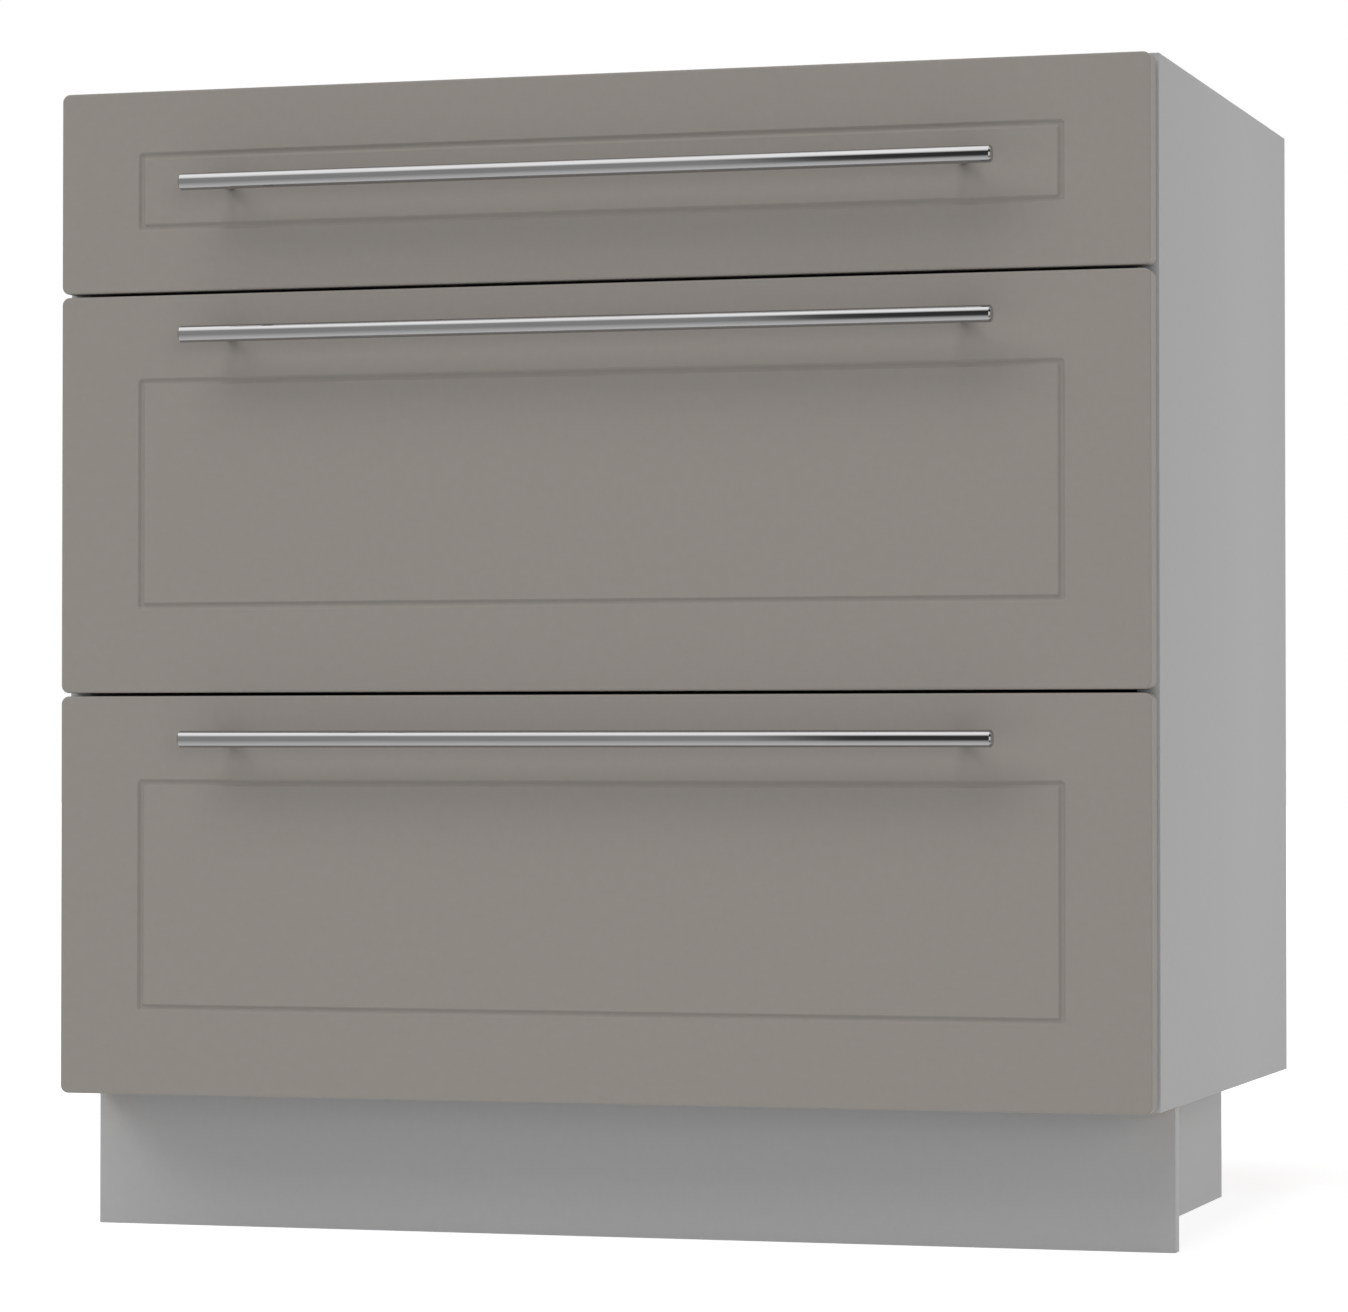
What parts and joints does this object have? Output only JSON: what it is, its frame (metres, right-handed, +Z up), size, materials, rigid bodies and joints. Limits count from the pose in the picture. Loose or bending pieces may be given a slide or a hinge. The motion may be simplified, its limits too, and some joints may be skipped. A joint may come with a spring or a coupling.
{
  "type": "base cabinet with drawers",
  "caption": "Kitchen base cabinet on a recessed plinth, with a shallow drawer over deep drawers, grooved fronts and bar handles.",
  "frame": {"origin": "middle of the cabinet's overall box, on the floor, handles included", "axes": "+X to the right seen from the front, +Y to the back, +Z up"},
  "size_m": [0.8, 0.556, 0.82],
  "materials": {
    "front_foil": "matt greige foil on fibreboard",
    "carcass_melamine": "matt light grey melamine on chipboard",
    "plinth_melamine": "matt grey melamine on chipboard",
    "back_hardboard": "thin hardboard, lacquered light grey inside and raw outside",
    "drawer_board": "matt light grey melamine on chipboard",
    "drawer_steel": "grey powder coat",
    "runner_steel": "zinc plate",
    "handle_steel": "fine brushed",
    "leg_plastic": "black moulded plastic"
  },
  "bodies": {
    "cabinet": {"side_panel_left": "carcass_melamine", "side_panel_right": "carcass_melamine", "bottom_panel": "carcass_melamine", "top_rail_front": "carcass_melamine", "top_rail_rear": "carcass_melamine", "back_panel": "back_hardboard", "plinth_front": "plinth_melamine", "plinth_return_left": "plinth_melamine", "plinth_return_right": "plinth_melamine", "leg_front_left": "leg_plastic", "leg_front_right": "leg_plastic", "leg_rear_left": "leg_plastic", "leg_rear_right": "leg_plastic", "runner_1_cabinet_left": "runner_steel", "runner_1_cabinet_right": "runner_steel", "runner_2_cabinet_left": "runner_steel", "runner_2_cabinet_right": "runner_steel", "runner_3_cabinet_left": "runner_steel", "runner_3_cabinet_right": "runner_steel"},
    "drawer_1": {"drawer_1_front": "front_foil", "drawer_1_bottom": "drawer_board", "drawer_1_back": "drawer_board", "handle_1_bar": "handle_steel", "handle_1_post_left": "handle_steel", "drawer_1_side_left": "drawer_steel", "runner_1_drawer_left": "runner_steel", "handle_1_post_right": "handle_steel", "drawer_1_side_right": "drawer_steel", "runner_1_drawer_right": "runner_steel"},
    "runner_1_middle": {"runner_1_middle_left": "runner_steel", "runner_1_middle_right": "runner_steel"},
    "drawer_2": {"drawer_2_front": "front_foil", "drawer_2_bottom": "drawer_board", "drawer_2_back": "drawer_board", "handle_2_bar": "handle_steel", "handle_2_post_left": "handle_steel", "drawer_2_side_left": "drawer_steel", "runner_2_drawer_left": "runner_steel", "handle_2_post_right": "handle_steel", "drawer_2_side_right": "drawer_steel", "runner_2_drawer_right": "runner_steel"},
    "runner_2_middle": {"runner_2_middle_left": "runner_steel", "runner_2_middle_right": "runner_steel"},
    "drawer_3": {"drawer_3_front": "front_foil", "drawer_3_bottom": "drawer_board", "drawer_3_back": "drawer_board", "handle_3_bar": "handle_steel", "handle_3_post_left": "handle_steel", "drawer_3_side_left": "drawer_steel", "runner_3_drawer_left": "runner_steel", "handle_3_post_right": "handle_steel", "drawer_3_side_right": "drawer_steel", "runner_3_drawer_right": "runner_steel"},
    "runner_3_middle": {"runner_3_middle_left": "runner_steel", "runner_3_middle_right": "runner_steel"},
    "foot_front_left": {"foot_front_left": "leg_plastic"},
    "foot_front_right": {"foot_front_right": "leg_plastic"},
    "foot_rear_left": {"foot_rear_left": "leg_plastic"},
    "foot_rear_right": {"foot_rear_right": "leg_plastic"}
  },
  "joints": [
    {"name": "drawer_1_slide", "type": "slide", "parent": "cabinet", "child": "drawer_1", "axis": [0, -1, 0], "range_m": [0, 0.45]},
    {"name": "drawer_2_slide", "type": "slide", "parent": "cabinet", "child": "drawer_2", "axis": [0, -1, 0], "range_m": [0, 0.45]},
    {"name": "drawer_3_slide", "type": "slide", "parent": "cabinet", "child": "drawer_3", "axis": [0, -1, 0], "range_m": [0, 0.45]},
    {"name": "runner_1_middle_slide", "type": "slide", "parent": "cabinet", "child": "runner_1_middle", "axis": [0, -1, 0], "range_m": [0, 0.225]},
    {"name": "runner_2_middle_slide", "type": "slide", "parent": "cabinet", "child": "runner_2_middle", "axis": [0, -1, 0], "range_m": [0, 0.225]},
    {"name": "runner_3_middle_slide", "type": "slide", "parent": "cabinet", "child": "runner_3_middle", "axis": [0, -1, 0], "range_m": [0, 0.225]},
    {"name": "foot_front_left_level", "type": "slide", "parent": "cabinet", "child": "foot_front_left", "axis": [0, 0, -1], "range_m": [-0.01, 0.02]},
    {"name": "foot_front_right_level", "type": "slide", "parent": "cabinet", "child": "foot_front_right", "axis": [0, 0, -1], "range_m": [-0.01, 0.02]},
    {"name": "foot_rear_left_level", "type": "slide", "parent": "cabinet", "child": "foot_rear_left", "axis": [0, 0, -1], "range_m": [-0.01, 0.02]},
    {"name": "foot_rear_right_level", "type": "slide", "parent": "cabinet", "child": "foot_rear_right", "axis": [0, 0, -1], "range_m": [-0.01, 0.02]}
  ],
  "couplings": [
    {"joint": "runner_1_middle_slide", "follows": "drawer_1_slide", "ratio": 0.5},
    {"joint": "runner_2_middle_slide", "follows": "drawer_2_slide", "ratio": 0.5},
    {"joint": "runner_3_middle_slide", "follows": "drawer_3_slide", "ratio": 0.5}
  ]
}
